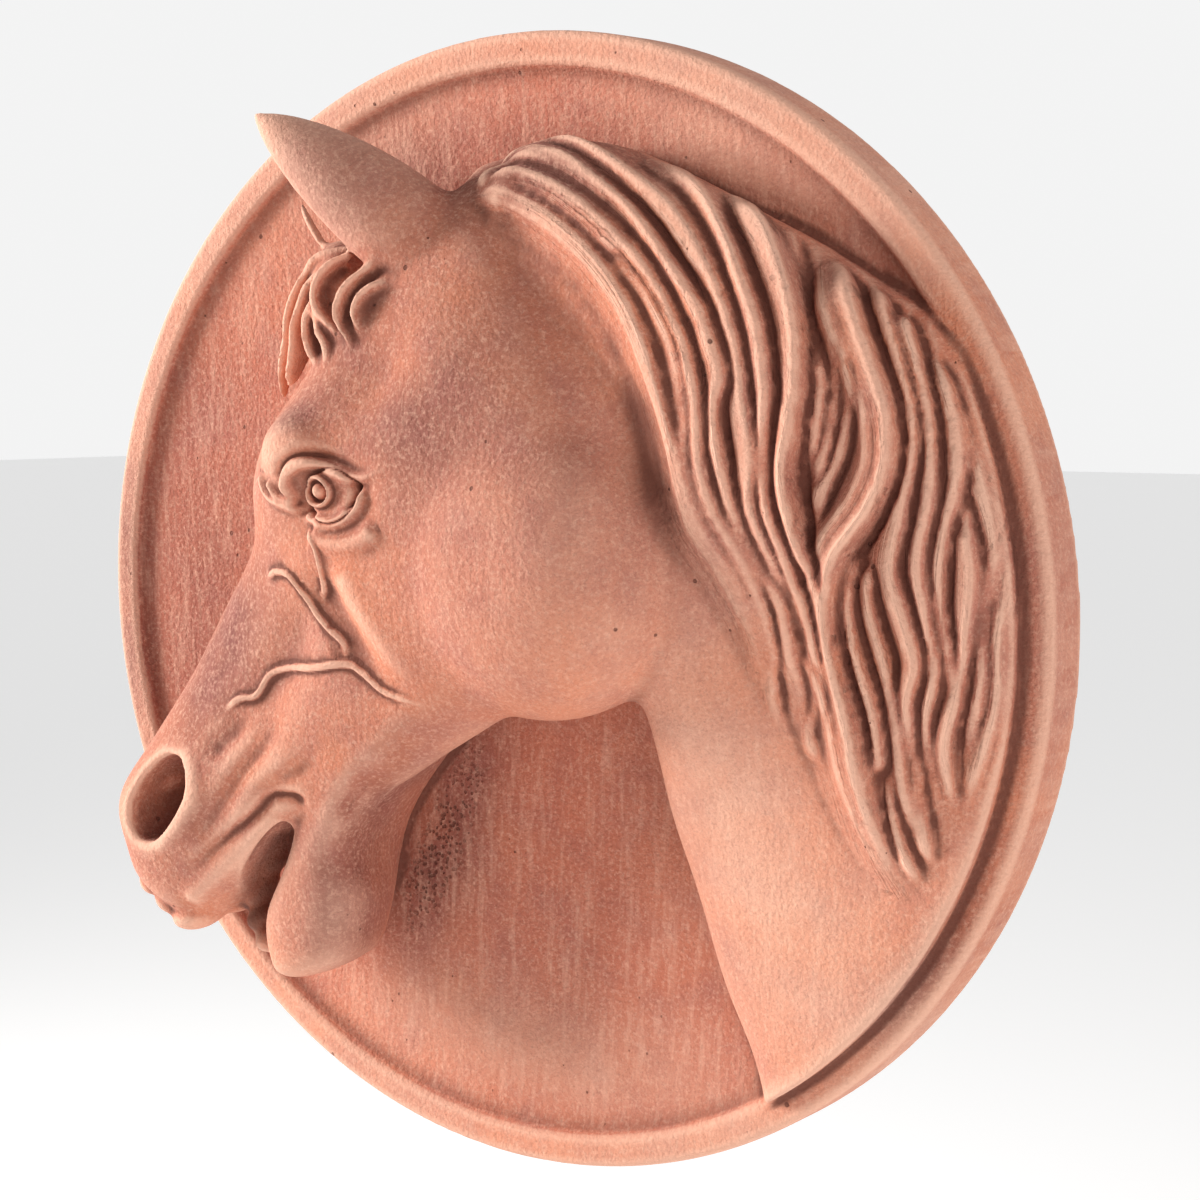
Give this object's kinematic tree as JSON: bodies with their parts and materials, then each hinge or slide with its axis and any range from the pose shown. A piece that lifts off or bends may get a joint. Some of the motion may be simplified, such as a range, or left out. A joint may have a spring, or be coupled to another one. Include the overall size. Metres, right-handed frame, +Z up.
{
  "type": "horse wall relief",
  "caption": "Round fired-clay wall relief: a dish with a raised lip, and a horse's head and neck with a flowing mane standing out of it in high relief.",
  "frame": {"origin": "centre of the flat back, where the dish meets the wall", "axes": "+Y out of the back into the wall, the horse faces the viewer's left along -X, +Z up; the relief stands out along -Y"},
  "size_m": [0.604, 0.127, 0.604],
  "materials": {
    "terracotta": "matte fired clay, brushed and weathered, with a pale bloom on the raised places"
  },
  "bodies": {
    "root": {"horse_relief": "terracotta"}
  },
  "joints": []
}
